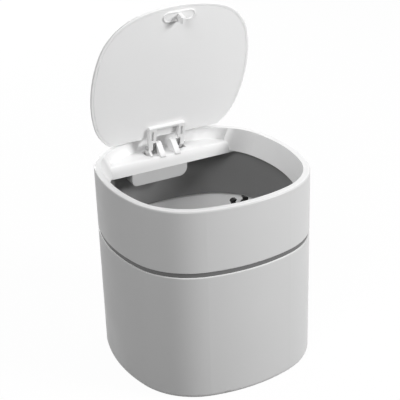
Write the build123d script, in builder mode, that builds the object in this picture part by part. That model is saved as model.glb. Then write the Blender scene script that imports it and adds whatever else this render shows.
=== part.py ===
from build123d import *
from math import acos, cos, degrees, pi, radians, sin, sqrt, tan

import os

os.makedirs("parts", exist_ok=True)

# Desktop trash can: a pail, a bag ring, a collar with a sprung and damped lid, and a touch latch.
# Millimetres, +Z up, +Y to the rear where the lid is hinged, origin at the middle of the base.
# The lid is modelled open, as it stands after the latch has let go.

# General
overrun = 2.0
fit_gap = 0.3
flush_gap = 0.1
slide_gap = 0.2
run_gap = 0.05

# Outline of the body, eight tangent arcs
body_side = 160.0
side_radius = 133.0
corner_radius = 56.5

# Pail
bin_height = 106.9
bin_wall = 2.4
bin_floor = 2.6
bin_foot_radius = 4.0
bin_floor_bevel = 2.0
bin_lip_bevel = 0.5
base_recess_depth = 1.2
base_recess_inset = 9.0

# Bag ring
seam_height = 3.7
seam_recess = 1.0
ring_inset = 4.5
ring_wall = 1.6
ring_drop = 6.9
ring_edge_bevel = 0.4
spigot_height = 4.5

# Collar
rim_height = 161.0
collar_wall = 2.4
collar_lip_bevel = 0.5
rim_thickness = 2.4
rim_width = 5.4
rim_outer_radius = 1.4
funnel_depth = 18.0
funnel_wall = 2.2
mouth_inset = 11.5
mouth_gap = 2.0

# Rear deck of the collar
deck_depth = 25.5
deck_drop = 10.5
deck_thickness = 2.2
deck_nose_radius = 2.5
apron_reach = 4.2
apron_height = 9.0
apron_wall = 2.2

# Hinge
hinge_setback = 16.3
hinge_drop = 5.1
open_angle = 72.1
pin_radius = 1.5
pin_head_radius = 2.2
pin_head_length = 0.8
pin_socket_wall = 0.8
ear_inner = 4.4
ear_width = 4.6
ear_radius = 4.2
ear_foot_front = 10.4
ear_foot_rear = 5.4
arm_inner = 10.2
arm_width = 6.0
arm_boss_width = 3.6
arm_boss_radius = 3.0
arm_web_end = 6.2
arm_height = 3.0
arm_rib = 2.1
arm_groove_depth = 1.5
crossbar_reach = 19.8
crossbar_width = 2.2
tail_reach = 8.2
tail_thickness = 2.4
tail_rise = 12.0
slot_inner = 10.4
slot_outer = 18.6
slot_front = 1.7
slot_rear = 6.9
slot_radius = 0.8

# Lid springs, of wire with its round cut to a few sides as in the latch's spring
spring_sides = 6
lid_wire_radius = 0.3
lid_coil_radius = 2.6
lid_coil_pitch = 1.06
lid_coil_turns = 2
lid_leg_up = 4.0

# Gears of the damper
gear_module = 0.6
gear_pressure_angle = 25.0
gear_addendum_share = 0.8
gear_dedendum_share = 1.0
gear_backlash = 0.1
sector_teeth = 24
sector_count = 6
idler_teeth = 10
damper_teeth = 16
gear_width = 1.8
gear_side_gap = 0.2
idler_angle = 20.0
damper_angle = -41.5
sector_notch_front = 5.9
sector_notch_rear = 8.2
axle_radius = 0.8
axle_overhang = 0.4
idler_hub_radius = 1.7
damper_shaft_radius = 1.3
damper_shaft_depth = 4.0
damper_radius = 4.7
damper_length = 8.5
damper_gap = 3.4
damper_key_width = 3.0
damper_key_height = 1.2

# Mechanism housing
housing_left = -37.0
housing_right = 13.0
housing_drop = 17.3
housing_wall = 1.5
housing_ring_gap = 0.5
housing_small_radius = 4.0
housing_large_radius = 7.5
fork_thickness = 1.6
fork_half_width = 1.8
stop_thickness = 2.6
stop_sink = 1.2
saddle_thickness = 1.6
post_radius = 2.6
post_left = -32.3
post_right = 7.5
post_setback = 2.9
post_seat_rise = 2.6
screw_radius = 1.3
screw_bite = 0.1
screw_head_radius = 2.3
screw_head_height = 1.5
screw_length = 9.0
screw_socket_radius = 0.8
screw_socket_depth = 0.8

# Lid
lid_inset = 11.0
lid_sink = 0.3
lid_thickness = 2.5
lid_edge_radius = 1.2
lid_lower_bevel = 0.4
lid_cut_reach = 8.1
lid_cut_radius = 3.0
lid_border = 2.2
lid_border_gap = 0.15
liner_thickness = 1.0

# Striker under the free edge of the lid
latch_setback = 20.5
pad_length = 27.0
pad_width = 9.0
pad_thickness = 0.7
pad_border = 1.1
pad_recess = 0.3
hook_depth = 5.0
hook_stem = 2.8
hook_head = 4.0
hook_reach = 7.3
hook_head_height = 2.4

# Touch latch
shelf_width = 23.0
shelf_thickness = 2.6
shelf_drop = 14.8
shelf_overhang = 2.4
latch_width = 14.4
latch_depth = 9.4
latch_drop = 10.6
latch_height = 16.4
latch_wall = 1.2
latch_floor = 1.2
latch_flange = 1.5
latch_flange_thickness = 1.2
latch_corner_radius = 1.0
plunger_height = 8.6
plunger_bore_radius = 2.5
plunger_bore_depth = 4.5
plunger_sink = 0.75
lug_thickness = 0.9
claw_pivot_spread = 3.9
claw_pivot_rise = 1.35
claw_boss_radius = 1.2
claw_width = 4.0
claw_height = 6.0
claw_pin_radius = 0.6
latch_wire_radius = 0.25
latch_coil_radius = 1.9
latch_coil_turns = 4

# Places worked out from the sizes above
half = body_side / 2
arc_offset = side_radius - half
arc_gap = side_radius - corner_radius
corner_centre = (sqrt(2 * arc_gap**2 - arc_offset**2) - arc_offset) / 2
seam_top = bin_height + seam_height
mouth_height = rim_height - funnel_depth
ring_bottom = bin_height - ring_drop
ring_top = mouth_height - mouth_gap
deck_top = rim_height - deck_drop
deck_under = deck_top - deck_thickness
deck_front = half - deck_depth
apron_front = deck_front - apron_reach
apron_bottom = deck_top - apron_height
hinge_y = half - hinge_setback
hinge_z = rim_height - hinge_drop
lid_top = rim_height - lid_sink
lid_under = lid_top - lid_thickness
lid_cut = hinge_y - lid_cut_reach
lid_leg_down = hinge_z - deck_top - flush_gap
open_sine = sin(radians(open_angle))
open_cosine = cos(radians(open_angle))


# Planes and outlines
def plan_outline(inset):
    """Rounded square of eight tangent arcs, parallel to the outer wall at an inset."""
    reach = (side_radius - inset) / arc_gap
    tangent_x = corner_centre * reach
    tangent_y = arc_offset - (corner_centre + arc_offset) * reach
    diagonal = corner_centre + (corner_radius - inset) * sqrt(0.5)
    marks = [
        Vector(-tangent_x, tangent_y),
        Vector(0, inset - half),
        Vector(tangent_x, tangent_y),
        Vector(diagonal, -diagonal),
        Vector(-tangent_y, -tangent_x),
    ]
    with BuildSketch() as outline:
        with BuildLine():
            for quarter in range(4):
                start, side, turn, corner, end = [mark.rotate(Axis.Z, 90 * quarter) for mark in marks]
                ThreePointArc(start, side, turn)
                ThreePointArc(turn, corner, end)
        make_face()
    return outline.sketch


def lid_outline(inset):
    """The lid's outline: the rounded square, cut straight in front of the hinge."""
    with BuildSketch() as outline:
        add(plan_outline(lid_inset + inset))
        with Locations((0, lid_cut - inset)):
            Rectangle(body_side, body_side, align=(Align.CENTER, Align.MIN), mode=Mode.SUBTRACT)
        ends = outline.vertices().group_by(Axis.Y)[-1]
        fillet(ends, lid_cut_radius)
    return outline.sketch


def opened(y, z):
    """A point of the closed lid, turned about the hinge to where the open lid has it."""
    back = y - hinge_y
    rise = z - hinge_z
    return hinge_y + back * open_cosine + rise * open_sine, hinge_z - back * open_sine + rise * open_cosine


def lid_level(z):
    """Plane of the open lid that lies level at height z when the lid is closed."""
    return Plane(origin=(0, *opened(0, z)), x_dir=(1, 0, 0), z_dir=(0, open_sine, open_cosine))


def lid_side(x):
    """Plane across the open lid, with the closed lid's y and z as its own x and y."""
    return Plane(origin=(x, *opened(0, 0)), x_dir=(0, open_cosine, -open_sine), z_dir=(1, 0, 0))


def lid_front(y):
    """Plane through the open lid, with the closed lid's x and z as its own x and y."""
    return Plane(origin=(0, *opened(y, 0)), x_dir=(1, 0, 0), z_dir=(0, -open_cosine, open_sine))


def side_plane(x):
    """Upright plane across the can, with y and z as its own x and y."""
    return Plane(origin=(x, 0, 0), x_dir=(0, 1, 0), z_dir=(1, 0, 0))


def front_plane(y):
    """Upright plane along the can, with x and z as its own x and y, facing the front."""
    return Plane(origin=(0, y, 0), x_dir=(1, 0, 0), z_dir=(0, -1, 0))


lid_normal = Axis((0, 0, 0), (0, open_sine, open_cosine))

# Pail: straight walls, rounded foot, a floor raised on a ring
with BuildPart() as bin_body:
    with BuildSketch():
        add(plan_outline(0))
    extrude(amount=bin_height)
    fillet(bin_body.faces().sort_by(Axis.Z)[0].edges(), bin_foot_radius)
    chamfer(bin_body.faces().sort_by(Axis.Z)[-1].edges(), bin_lip_bevel)
    with BuildPart(mode=Mode.PRIVATE) as bin_space:
        with BuildSketch(Plane.XY.offset(bin_floor + base_recess_depth)):
            add(plan_outline(bin_wall))
        extrude(amount=bin_height)
        chamfer(bin_space.faces().sort_by(Axis.Z)[0].edges(), bin_floor_bevel)
    add(bin_space.part, mode=Mode.SUBTRACT)
    with BuildSketch():
        add(plan_outline(base_recess_inset))
    extrude(amount=base_recess_depth, mode=Mode.SUBTRACT)
bin_body.part.label = "bin_body"
export_step(bin_body.part, "parts/bin_body.step")

# Bag ring: a tube with a flange in the seam and a spigot that centres the pail and the collar
with BuildPart() as bag_ring:
    with BuildSketch(Plane.XY.offset(ring_bottom)):
        add(plan_outline(ring_inset))
    extrude(amount=ring_top - ring_bottom)
    with BuildSketch(Plane.XY.offset(bin_height - spigot_height)):
        add(plan_outline(bin_wall + fit_gap))
    extrude(amount=seam_height + 2 * spigot_height)
    with BuildSketch(Plane.XY.offset(bin_height)):
        add(plan_outline(seam_recess))
    extrude(amount=seam_height)
    with BuildSketch(Plane.XY.offset(ring_bottom)):
        add(plan_outline(ring_inset + ring_wall))
    extrude(amount=ring_top - ring_bottom, mode=Mode.SUBTRACT)
    chamfer(bag_ring.faces().sort_by(Axis.Z)[-1].edges(), ring_edge_bevel)
    chamfer(bag_ring.faces().sort_by(Axis.Z)[0].edges(), ring_edge_bevel)
bag_ring.part.label = "bag_ring"
export_step(bag_ring.part, "parts/bag_ring.step")


# Gears: involute teeth, stubby so that the small idler is not undercut
def tooth_marks(teeth):
    """Half the outline of one tooth that points along x: root, base, middle and tip points."""
    pitch = gear_module * teeth / 2
    base = pitch * cos(radians(gear_pressure_angle))
    root = pitch - gear_module * gear_dedendum_share
    tip = pitch + gear_module * gear_addendum_share
    slack = gear_backlash / (2 * pitch)
    at_base = pi / (2 * teeth) - slack / 2 + tan(radians(gear_pressure_angle)) - radians(gear_pressure_angle)

    def flank(radius):
        roll = acos(min(1, base / radius))
        angle = at_base - (tan(roll) - roll)
        return radius * cos(angle), radius * sin(angle)

    start = max(root, base)
    inner = (root * cos(at_base) * root / (root + gear_module), root * sin(at_base))
    return [inner, flank(start), flank((start + tip) / 2), flank(tip), (tip, 0)]


def tooth(teeth):
    """One tooth along x, with its foot inside the root circle."""
    inner, start, middle, end, crown = tooth_marks(teeth)
    with BuildSketch() as face:
        with BuildLine():
            Line(inner, start)
            ThreePointArc(start, middle, end)
            ThreePointArc(end, crown, (end[0], -end[1]))
            ThreePointArc((end[0], -end[1]), (middle[0], -middle[1]), (start[0], -start[1]))
            Line((start[0], -start[1]), (inner[0], -inner[1]))
            Line((inner[0], -inner[1]), inner)
        make_face()
    return face.sketch


def root_radius(teeth):
    """Radius of the circle between the teeth."""
    return gear_module * (teeth / 2 - gear_dedendum_share)


def tip_radius(teeth):
    """Radius over the teeth."""
    return gear_module * (teeth / 2 + gear_addendum_share)


def gear_face(teeth, first_angle, bore_radius):
    """A whole gear about the origin, with one tooth at the first angle."""
    with BuildSketch() as face:
        Circle(root_radius(teeth))
        with PolarLocations(0, teeth, start_angle=first_angle):
            add(tooth(teeth))
        if bore_radius > 0:
            Circle(bore_radius, mode=Mode.SUBTRACT)
    return face.sketch


def toothed_sector(teeth, first_angle, count):
    """Some teeth of a gear about the origin, on a wedge that runs to its centre."""
    step = 360 / teeth
    reach = 2 * tip_radius(teeth)
    edges = [radians(first_angle + step * (turn * count / 4 - 1 / 2)) for turn in range(5)]
    with BuildSketch() as face:
        Circle(root_radius(teeth))
        with BuildLine():
            Polyline((0, 0), *[(reach * cos(edge), reach * sin(edge)) for edge in edges], close=True)
        make_face(mode=Mode.INTERSECT)
        with PolarLocations(0, count, start_angle=first_angle, angular_range=count * step):
            add(tooth(teeth))
    return face.sketch


# Angles of the gears are measured in the side plane, from +y towards +z
sector_step = 360 / sector_teeth
idler_distance = gear_module * (sector_teeth + idler_teeth) / 2
damper_distance = gear_module * (idler_teeth + damper_teeth) / 2
to_idler = idler_angle - 90
to_damper = damper_angle - 90
idler_y = hinge_y + idler_distance * cos(radians(to_idler))
idler_z = hinge_z + idler_distance * sin(radians(to_idler))
damper_y = idler_y + damper_distance * cos(radians(to_damper))
damper_z = idler_z + damper_distance * sin(radians(to_damper))
idler_tooth = to_idler + 180
damper_gap_angle = to_damper + 180 - (idler_tooth - to_damper) * idler_teeth / damper_teeth
damper_tooth = damper_gap_angle + 180 / damper_teeth
sector_first = to_idler + sector_step / 2 - (sector_count - 1) * sector_step
gear_left = -arm_inner - arm_width

# Empty space of the collar above its skin: the funnel and the room over the deck
with BuildPart() as funnel_space:
    with BuildSketch(Plane.XY.offset(mouth_height)):
        add(plan_outline(mouth_inset))
    with BuildSketch(Plane.XY.offset(rim_height)):
        add(plan_outline(rim_width))
    loft(ruled=True)
    with BuildSketch(Plane.XY.offset(mouth_height - overrun)):
        add(plan_outline(mouth_inset))
    extrude(amount=overrun + flush_gap)
    with BuildSketch(side_plane(-half)):
        with BuildLine():
            Polyline(
                (apron_front, mouth_height - 2 * overrun),
                (apron_front, apron_bottom),
                (deck_front, deck_top),
                (half, deck_top),
                (half, mouth_height - 2 * overrun),
                close=True,
            )
        deck_block = make_face()
        nose = deck_block.vertices().sort_by(Axis.Z)[-2:].sort_by(Axis.Y)[0]
        fillet(nose, deck_nose_radius)
    extrude(amount=body_side, mode=Mode.SUBTRACT)
    with BuildSketch(Plane.XY.offset(deck_top)):
        add(plan_outline(rim_width))
        with Locations((0, deck_front + deck_nose_radius)):
            Rectangle(body_side, half, align=(Align.CENTER, Align.MIN), mode=Mode.INTERSECT)
    extrude(amount=rim_height - deck_top)

# Solid skin of the funnel and of the deck, which the hollow under the rim goes round
with BuildPart() as funnel_skin:
    with BuildSketch(Plane.XY.offset(mouth_height)):
        add(plan_outline(mouth_inset - funnel_wall))
    with BuildSketch(Plane.XY.offset(rim_height)):
        add(plan_outline(rim_width - funnel_wall))
    loft(ruled=True)
    with BuildPart(mode=Mode.PRIVATE) as deck_skin:
        with BuildSketch(side_plane(-half)):
            with BuildLine():
                Polyline(
                    (apron_front, apron_bottom),
                    (apron_front + apron_wall, apron_bottom),
                    (deck_front + apron_wall, deck_under),
                    (half, deck_under),
                    (half, rim_height),
                    (deck_front, rim_height),
                    (deck_front, deck_top),
                    close=True,
                )
            make_face()
        extrude(amount=body_side)
        with BuildSketch(Plane.XY.offset(apron_bottom)):
            add(plan_outline(rim_width - funnel_wall))
        extrude(amount=rim_height - apron_bottom, mode=Mode.INTERSECT)
    add(deck_skin.part)
    with BuildSketch(side_plane(-half)):
        with BuildLine():
            Polyline(
                (apron_front, mouth_height - 2 * overrun),
                (apron_front, apron_bottom),
                (apron_front + apron_wall, apron_bottom),
                (deck_front + apron_wall, deck_under),
                (half, deck_under),
                (half, mouth_height - 2 * overrun),
                close=True,
            )
        make_face()
    extrude(amount=body_side, mode=Mode.SUBTRACT)

# Hollow of the collar between its outer wall and the skin
with BuildPart() as collar_space:
    with BuildSketch(Plane.XY.offset(seam_top)):
        add(plan_outline(collar_wall))
    extrude(amount=rim_height - rim_thickness - seam_top)
    add(funnel_skin.part, mode=Mode.SUBTRACT)

latch_y = latch_setback - half
latch_bottom = rim_height - latch_drop - latch_height
latch_top = rim_height - latch_drop
shelf_under = rim_height - shelf_drop - shelf_thickness
shelf_top = rim_height - shelf_drop
post_y = deck_front + apron_wall + post_setback - post_radius
housing_bottom = deck_under - housing_drop
housing_floor = housing_bottom + housing_wall
post_seat = housing_floor + post_seat_rise

with BuildPart() as collar:
    with BuildSketch(Plane.XY.offset(seam_top)):
        add(plan_outline(0))
    extrude(amount=rim_height - seam_top)
    fillet(collar.faces().sort_by(Axis.Z)[-1].edges(), rim_outer_radius)
    chamfer(collar.faces().sort_by(Axis.Z)[0].edges(), collar_lip_bevel)
    add(collar_space.part, mode=Mode.SUBTRACT)
    add(funnel_space.part, mode=Mode.SUBTRACT)
    # ears that carry the lid's pins, each in a blind socket
    for ear_start in (ear_inner, -ear_inner - ear_width):
        with BuildSketch(side_plane(ear_start)):
            with BuildLine():
                Polyline(
                    (hinge_y - ear_foot_front, deck_top - deck_thickness / 2),
                    (hinge_y - ear_foot_front, deck_top),
                    (hinge_y - ear_radius * sqrt(0.5), hinge_z + ear_radius * sqrt(0.5)),
                    (hinge_y + ear_radius, hinge_z),
                    (hinge_y + ear_foot_rear, deck_top),
                    (hinge_y + ear_foot_rear, deck_top - deck_thickness / 2),
                    close=True,
                )
            make_face()
            with Locations((hinge_y, hinge_z)):
                Circle(ear_radius)
        extrude(amount=ear_width)
    for socket_start in (ear_inner + pin_socket_wall, -ear_inner - ear_width):
        with BuildSketch(side_plane(socket_start)):
            with Locations((hinge_y, hinge_z)):
                Circle(pin_radius + run_gap)
        extrude(amount=ear_width - pin_socket_wall, mode=Mode.SUBTRACT)
    # slots for the tails of the lid's bracket, the left one with a notch for the toothed sector
    with BuildSketch(Plane.XY.offset(deck_under - overrun)):
        slot_width = slot_outer - slot_inner
        for slot_start in (slot_inner, -slot_outer):
            with Locations((slot_start + slot_width / 2, hinge_y + (slot_rear - slot_front) / 2)):
                RectangleRounded(slot_width, slot_front + slot_rear, slot_radius)
        notch_width = gear_width + 4 * gear_side_gap
        notch_length = sector_notch_front + sector_notch_rear
        notch_y = hinge_y + (sector_notch_rear - sector_notch_front) / 2
        with Locations((gear_left + gear_width / 2, notch_y)):
            Rectangle(notch_width, notch_length)
    extrude(amount=deck_thickness + 2 * overrun - flush_gap, mode=Mode.SUBTRACT)
    # posts for the screws of the housing
    with BuildSketch(Plane.XY.offset(post_seat)):
        with Locations((post_left, post_y), (post_right, post_y)):
            Circle(post_radius)
    extrude(amount=deck_under + deck_thickness / 2 - post_seat)
    with BuildSketch(Plane.XY.offset(post_seat)):
        with Locations((post_left, post_y), (post_right, post_y)):
            Circle(screw_radius - screw_bite)
    extrude(amount=housing_bottom + screw_length + overrun / 2 - post_seat, mode=Mode.SUBTRACT)
    # shelf that the touch latch snaps into
    with BuildPart(mode=Mode.PRIVATE) as shelf:
        with BuildSketch(Plane.XY.offset(shelf_under)):
            with Locations((0, latch_y + latch_depth / 2 + shelf_overhang)):
                Rectangle(shelf_width, latch_setback + latch_depth, align=(Align.CENTER, Align.MAX))
            add(plan_outline(mouth_inset - funnel_wall / 2), mode=Mode.INTERSECT)
            with Locations((0, latch_y)):
                Rectangle(
                    latch_width + 2 * flush_gap, latch_depth + 2 * flush_gap, mode=Mode.SUBTRACT
                )
        extrude(amount=shelf_thickness)
    add(shelf.part)
collar.part.label = "collar"
export_step(collar.part, "parts/collar.step")

# Housing of the damper, a tray under the deck that follows the bag ring at its rear
housing_rear_inset = ring_inset + ring_wall + housing_ring_gap


def housing_front(inset):
    """Front view of the housing: rounded below, larger on the right."""
    left = housing_left + inset
    right = housing_right - inset
    with BuildSketch() as outline:
        with Locations(((left + right) / 2, housing_bottom + inset)):
            Rectangle(right - left, housing_drop - inset, align=(Align.CENTER, Align.MIN))
        low = outline.vertices().group_by(Axis.Y)[0].sort_by(Axis.X)
        fillet(low[0], housing_small_radius - inset)
        low = outline.vertices().group_by(Axis.Y)[0].sort_by(Axis.X)
        fillet(low[-1], housing_large_radius - inset)
    return outline.sketch


with BuildPart() as housing_tray:
    with BuildSketch(front_plane(half)):
        add(housing_front(0))
    extrude(amount=half - apron_front)
    with BuildSketch(Plane.XY.offset(housing_bottom)):
        add(plan_outline(housing_rear_inset))
    extrude(amount=housing_drop, mode=Mode.INTERSECT)

with BuildPart() as housing_space:
    with BuildSketch(front_plane(half)):
        add(housing_front(housing_wall))
    extrude(amount=half - apron_front - housing_wall)
    with BuildSketch(Plane.XY.offset(housing_floor)):
        add(plan_outline(housing_rear_inset + housing_wall))
    extrude(amount=housing_drop, mode=Mode.INTERSECT)

fork_left = gear_left - gear_side_gap - fork_thickness
fork_right = gear_left + gear_width + gear_side_gap
damper_start = gear_left - gear_side_gap - damper_gap
with BuildPart() as mechanism_housing:
    add(housing_tray.part)
    add(housing_space.part, mode=Mode.SUBTRACT)
    # forks that hold the idler's axle
    for fork_start in (fork_left, fork_right):
        with BuildSketch(side_plane(fork_start)):
            with Locations((idler_y, housing_floor - housing_wall / 2)):
                Rectangle(
                    2 * fork_half_width,
                    idler_z - housing_floor + housing_wall / 2,
                    align=(Align.CENTER, Align.MIN),
                )
            with Locations((idler_y, idler_z)):
                Circle(fork_half_width)
        extrude(amount=fork_thickness)
    # finger in front of the left tail, on which the lid stops when it is open
    tail_drop = radians(open_angle - tail_rise)
    tail_tip_y = hinge_y + (tail_reach - tail_thickness / 2) * cos(tail_drop)
    tail_tip_z = hinge_z - (tail_reach - tail_thickness / 2) * sin(tail_drop)
    finger_top = deck_top - stop_sink
    finger_back = tail_tip_y - sqrt((tail_thickness / 2) ** 2 - (tail_tip_z - finger_top) ** 2) - flush_gap
    with BuildSketch(side_plane(fork_right)):
        with Locations((finger_back, housing_floor - housing_wall / 2)):
            Rectangle(
                stop_thickness,
                finger_top - housing_floor + housing_wall / 2,
                align=(Align.MAX, Align.MIN),
            )
        with Locations((finger_back, housing_floor - housing_wall / 2)):
            Rectangle(
                idler_y - finger_back,
                idler_z - idler_hub_radius - housing_floor,
                align=(Align.MIN, Align.MIN),
            )
    extrude(amount=fork_thickness)
    with BuildSketch(side_plane(fork_left - overrun)):
        with Locations((idler_y, idler_z)):
            Circle(axle_radius)
    extrude(amount=fork_right + fork_thickness - fork_left + 2 * overrun, mode=Mode.SUBTRACT)
    # saddles under the damper, with a slot for its key
    for saddle_start in (damper_start - saddle_thickness, damper_start - damper_length):
        with BuildSketch(side_plane(saddle_start)):
            with Locations((damper_y, housing_floor - housing_wall / 2)):
                Rectangle(
                    2 * damper_radius,
                    damper_z - damper_radius / 2 - housing_floor + housing_wall / 2,
                    align=(Align.CENTER, Align.MIN),
                )
            with Locations((damper_y, damper_z)):
                Circle(damper_radius + flush_gap, mode=Mode.SUBTRACT)
            with Locations((damper_y, damper_z - damper_radius)):
                Rectangle(
                    damper_key_width + 2 * flush_gap,
                    2 * (damper_key_height + flush_gap),
                    mode=Mode.SUBTRACT,
                )
        extrude(amount=saddle_thickness)
    # room for the apron of the collar, and the screw holes
    with BuildSketch(side_plane(-half)):
        with BuildLine():
            Polyline(
                (apron_front - overrun, apron_bottom),
                (apron_front + apron_wall + slide_gap, apron_bottom),
                (deck_front + apron_wall + slide_gap, deck_under),
                (deck_front + apron_wall + slide_gap, deck_top),
                (apron_front - overrun, deck_top),
                close=True,
            )
        make_face()
    extrude(amount=body_side, mode=Mode.SUBTRACT)
    with BuildSketch(Plane.XY.offset(housing_floor - housing_wall / 2)):
        with Locations((post_left, post_y), (post_right, post_y)):
            Circle(post_radius)
    extrude(amount=post_seat - housing_floor + housing_wall / 2)
    with BuildSketch(Plane.XY.offset(housing_bottom)):
        with Locations((post_left, post_y), (post_right, post_y)):
            Circle(screw_radius + flush_gap)
    extrude(amount=post_seat - housing_bottom, mode=Mode.SUBTRACT)
mechanism_housing.part.label = "mechanism_housing"
export_step(mechanism_housing.part, "parts/mechanism_housing.step")

# Two pan-head screws, up through the housing's floor
with BuildPart() as housing_screws:
    with BuildSketch(Plane.XY.offset(housing_bottom)):
        with Locations((post_left, post_y), (post_right, post_y)):
            Circle(screw_radius)
    extrude(amount=screw_length)
    with BuildSketch(Plane.XY.offset(housing_bottom - screw_head_height)):
        with Locations((post_left, post_y), (post_right, post_y)):
            Circle(screw_head_radius)
    extrude(amount=screw_head_height)
    chamfer(housing_screws.edges().group_by(Axis.Z)[0], screw_head_height / 2)
    with BuildSketch(Plane.XY.offset(housing_bottom - screw_head_height)):
        with Locations((post_left, post_y), (post_right, post_y)):
            RegularPolygon(screw_socket_radius, 6)
    extrude(amount=screw_socket_depth, mode=Mode.SUBTRACT)
housing_screws.part.label = "housing_screws"
export_step(housing_screws.part, "parts/housing_screws.step")

# Two hinge pins, each from its socket in an ear out to a head beyond the arm
arm_outer = arm_inner + arm_width
with BuildPart() as hinge_pin:
    pin_foot = ear_inner + pin_socket_wall + flush_gap
    with BuildSketch(side_plane(pin_foot)):
        with Locations((hinge_y, hinge_z)):
            Circle(pin_radius)
    extrude(amount=arm_outer + slide_gap - pin_foot)
    chamfer(hinge_pin.edges().group_by(Axis.X)[0], pin_radius / 6)
    with BuildSketch(side_plane(arm_outer + slide_gap)):
        with Locations((hinge_y, hinge_z)):
            Circle(pin_head_radius)
    extrude(amount=pin_head_length)
    mirror(about=Plane.YZ)
hinge_pin.part.label = "hinge_pin"
export_step(hinge_pin.part, "parts/hinge_pin.step")


# Coil springs: biarcs of a quarter turn along a helix
def biarc(first, first_way, last, last_way):
    """Joint of the two arcs that leave one point and reach the other along the given ways."""
    span = last - first
    both = first_way + last_way
    spread = 2 * (1 - first_way.dot(last_way))
    reach = (sqrt(span.dot(both) ** 2 + spread * span.dot(span)) - span.dot(both)) / spread
    near = first + first_way * reach
    far = last - last_way * reach
    return (near + far) * 0.5, (far - near).normalized()


def helix_marks(frame, radius, pitch, turns):
    """Points and ways at the quarters of a helix about the frame's z, the ends square to it."""
    marks = []
    quarters = round(4 * turns)
    for step in range(quarters + 1):
        angle = pi / 2 * step
        climb = 0 if step in (0, quarters) else pitch / (2 * pi)
        place = Vector(radius * cos(angle), radius * sin(angle), pitch * step / 4)
        way = Vector(-radius * sin(angle), radius * cos(angle), climb).normalized()
        start = frame.from_local_coords(place)
        marks.append((start, (frame.from_local_coords(place + way) - start).normalized()))
    return marks


def trace_helix(marks):
    """Draw the biarcs between the quarters of a helix."""
    for (place, way), (next_place, next_way) in zip(marks, marks[1:]):
        joint, joint_way = biarc(place, way, next_place, next_way)
        TangentArc(place, joint, tangent=way)
        TangentArc(joint, next_place, tangent=joint_way)


def least_gap(wire, diameter, skip):
    """Least clear gap between stretches of one wire that lie further apart along it than skip."""
    count = round(wire.length / (diameter / 2))
    points = [wire.position_at(step / count) for step in range(count + 1)]
    apart = round(skip / wire.length * count)
    return min(
        (points[a] - points[b]).length
        for a in range(count + 1)
        for b in range(a + apart, count + 1)
    ) - diameter


def lid_spring(hand):
    """Torsion spring about the pin, one leg up along the bracket's arm, one into the slot."""
    length = lid_coil_pitch * lid_coil_turns
    inner = (arm_outer - arm_boss_width + ear_inner + ear_width - length) / 2
    # the coil starts at the front of the pin, with its wire on the way up
    frame = Plane(origin=(-inner, hinge_y, hinge_z), x_dir=(0, -1, 0), z_dir=(-1, 0, 0))
    marks = [
        (Vector(-hand * place.X, place.Y, place.Z), Vector(-hand * way.X, way.Y, way.Z))
        for place, way in helix_marks(frame, lid_coil_radius, lid_coil_pitch, lid_coil_turns)
    ]
    low, high = marks[0], marks[-1]
    with BuildPart() as spring:
        with BuildLine() as path:
            Line(low[0] - low[1] * lid_leg_down, low[0])
            trace_helix(marks)
            Line(high[0], high[0] + high[1] * lid_leg_up)
        wire = path.wires()[0]
        with BuildSketch(Plane(origin=wire.position_at(0), z_dir=wire.tangent_at(0))) as section:
            RegularPolygon(lid_wire_radius, spring_sides)
        sweep(path=wire, clean=False)
    gap = least_gap(wire, 2 * lid_wire_radius, pi * lid_coil_radius)
    print("lid spring: least gap to itself", round(gap, 2), "mm, volume", round(spring.part.volume, 2),
          "against", round(wire.length * section.sketch.area, 2))
    return spring


lid_spring_left = lid_spring(-1)
lid_spring_left.part.label = "lid_spring_left"
export_step(lid_spring_left.part, "parts/lid_spring_left.step")

lid_spring_right = lid_spring(1)
lid_spring_right.part.label = "lid_spring_right"
export_step(lid_spring_right.part, "parts/lid_spring_right.step")

# Idler gear on its axle
with BuildPart() as idler_gear:
    with BuildSketch(side_plane(gear_left)):
        with Locations((idler_y, idler_z)):
            add(gear_face(idler_teeth, idler_tooth, axle_radius + run_gap))
    extrude(amount=gear_width)
idler_gear.part.label = "idler_gear"
export_step(idler_gear.part, "parts/idler_gear.step")

with BuildPart() as idler_axle:
    with BuildSketch(side_plane(fork_left - axle_overhang)):
        with Locations((idler_y, idler_z)):
            Circle(axle_radius)
    extrude(amount=fork_right + fork_thickness - fork_left + 2 * axle_overhang)
idler_axle.part.label = "idler_axle"
export_step(idler_axle.part, "parts/idler_axle.step")

# Damper: a barrel of grease with a keyed foot, and the gear whose shaft turns in it
with BuildPart() as damper_gear:
    with BuildSketch(side_plane(gear_left)):
        with Locations((damper_y, damper_z)):
            add(gear_face(damper_teeth, damper_tooth, 0))
    extrude(amount=gear_width)
    with BuildSketch(side_plane(damper_start - damper_shaft_depth)):
        with Locations((damper_y, damper_z)):
            Circle(damper_shaft_radius)
    extrude(amount=gear_left - damper_start + damper_shaft_depth)
damper_gear.part.label = "damper_gear"
export_step(damper_gear.part, "parts/damper_gear.step")

with BuildPart() as damper_barrel:
    with BuildSketch(side_plane(damper_start - damper_length)):
        with Locations((damper_y, damper_z)):
            Circle(damper_radius)
        with Locations((damper_y, damper_z - damper_radius)):
            Rectangle(damper_key_width, 2 * damper_key_height)
    extrude(amount=damper_length)
    with BuildSketch(side_plane(damper_start - damper_shaft_depth - fit_gap)):
        with Locations((damper_y, damper_z)):
            Circle(damper_shaft_radius + run_gap)
    extrude(amount=damper_shaft_depth + fit_gap, mode=Mode.SUBTRACT)
damper_barrel.part.label = "damper_barrel"
export_step(damper_barrel.part, "parts/damper_barrel.step")

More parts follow.
